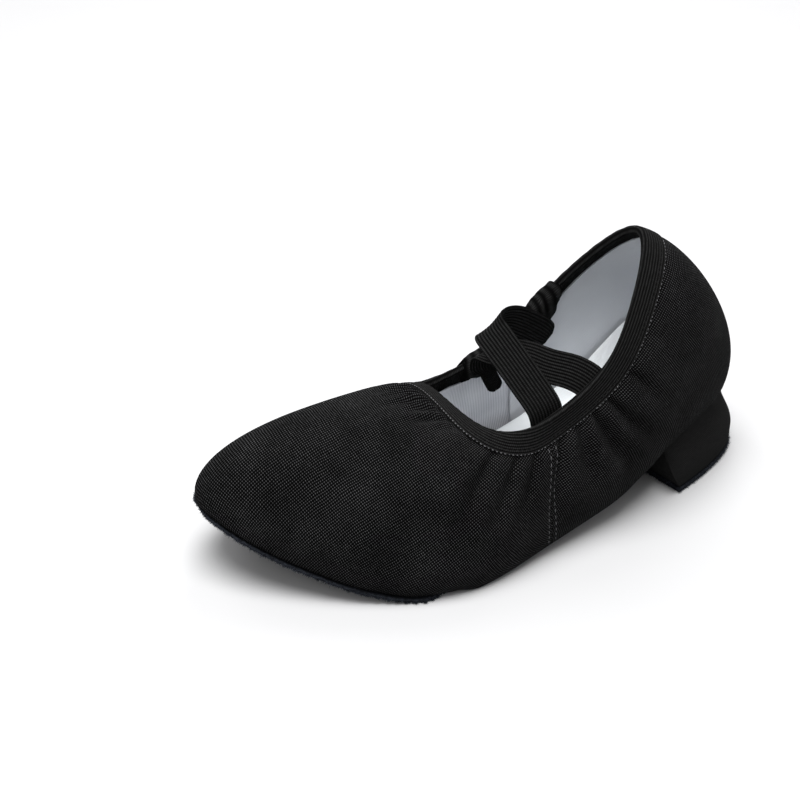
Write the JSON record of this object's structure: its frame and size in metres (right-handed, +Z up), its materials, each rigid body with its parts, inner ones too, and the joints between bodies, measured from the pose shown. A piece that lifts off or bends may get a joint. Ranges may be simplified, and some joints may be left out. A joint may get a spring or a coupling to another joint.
{
  "type": "ballet slipper",
  "caption": "Left canvas ballet slipper with a gathered elastic topline, crossed elastic straps, a split suede sole and a low covered block heel.",
  "frame": {"origin": "middle of the slipper's outline, on the floor it stands on", "axes": "+Z up, toe towards -Y, heel towards +Y, the wearer's left (outer side) towards +X"},
  "size_m": [0.0952, 0.2434, 0.1126],
  "materials": {
    "canvas": "plain woven black cotton canvas",
    "elastic": "ribbed black elastic",
    "lining": "smooth pale grey heel lining",
    "twill": "fine white twill",
    "sock": "smooth white insole sock",
    "suede": "dark rough suede with a fuzzy cut edge",
    "board": "plain fibre board",
    "steel": "plain steel",
    "heel_core": "moulded heel core",
    "thread": "pale grey sewing thread"
  },
  "bodies": {
    "rearfoot": {"quarter_lateral": "canvas", "quarter_medial": "canvas", "heel_lining": "lining", "heel_counter": "board", "topline_binding": "elastic", "strap_over": "elastic", "strap_under": "elastic", "strap_anchor_rear": "canvas", "strap_anchor_front": "canvas", "insole_sock": "sock", "shank_board": "board", "steel_shank": "steel", "shank_rivet_1": "steel", "shank_rivet_2": "steel", "heel_block": "heel_core", "heel_cover": "canvas", "heel_top_lift": "suede", "heel_nail_1": "steel", "heel_nail_2": "steel", "heel_nail_3": "steel", "heel_nail_4": "steel", "heel_screw": "steel"},
    "forefoot": {"vamp": "canvas", "vamp_lining": "twill", "outsole_forefoot": "suede", "bottom_filler": "board", "forefoot_board": "board"}
  },
  "joints": [
    {"name": "arch_flex", "type": "hinge", "parent": "rearfoot", "child": "forefoot", "pos_m": [0, 0.0065, 0.0055], "axis": [1, 0, 0], "range_deg": [0, 25], "deforming": ["topline_binding", "insole_sock"]}
  ]
}
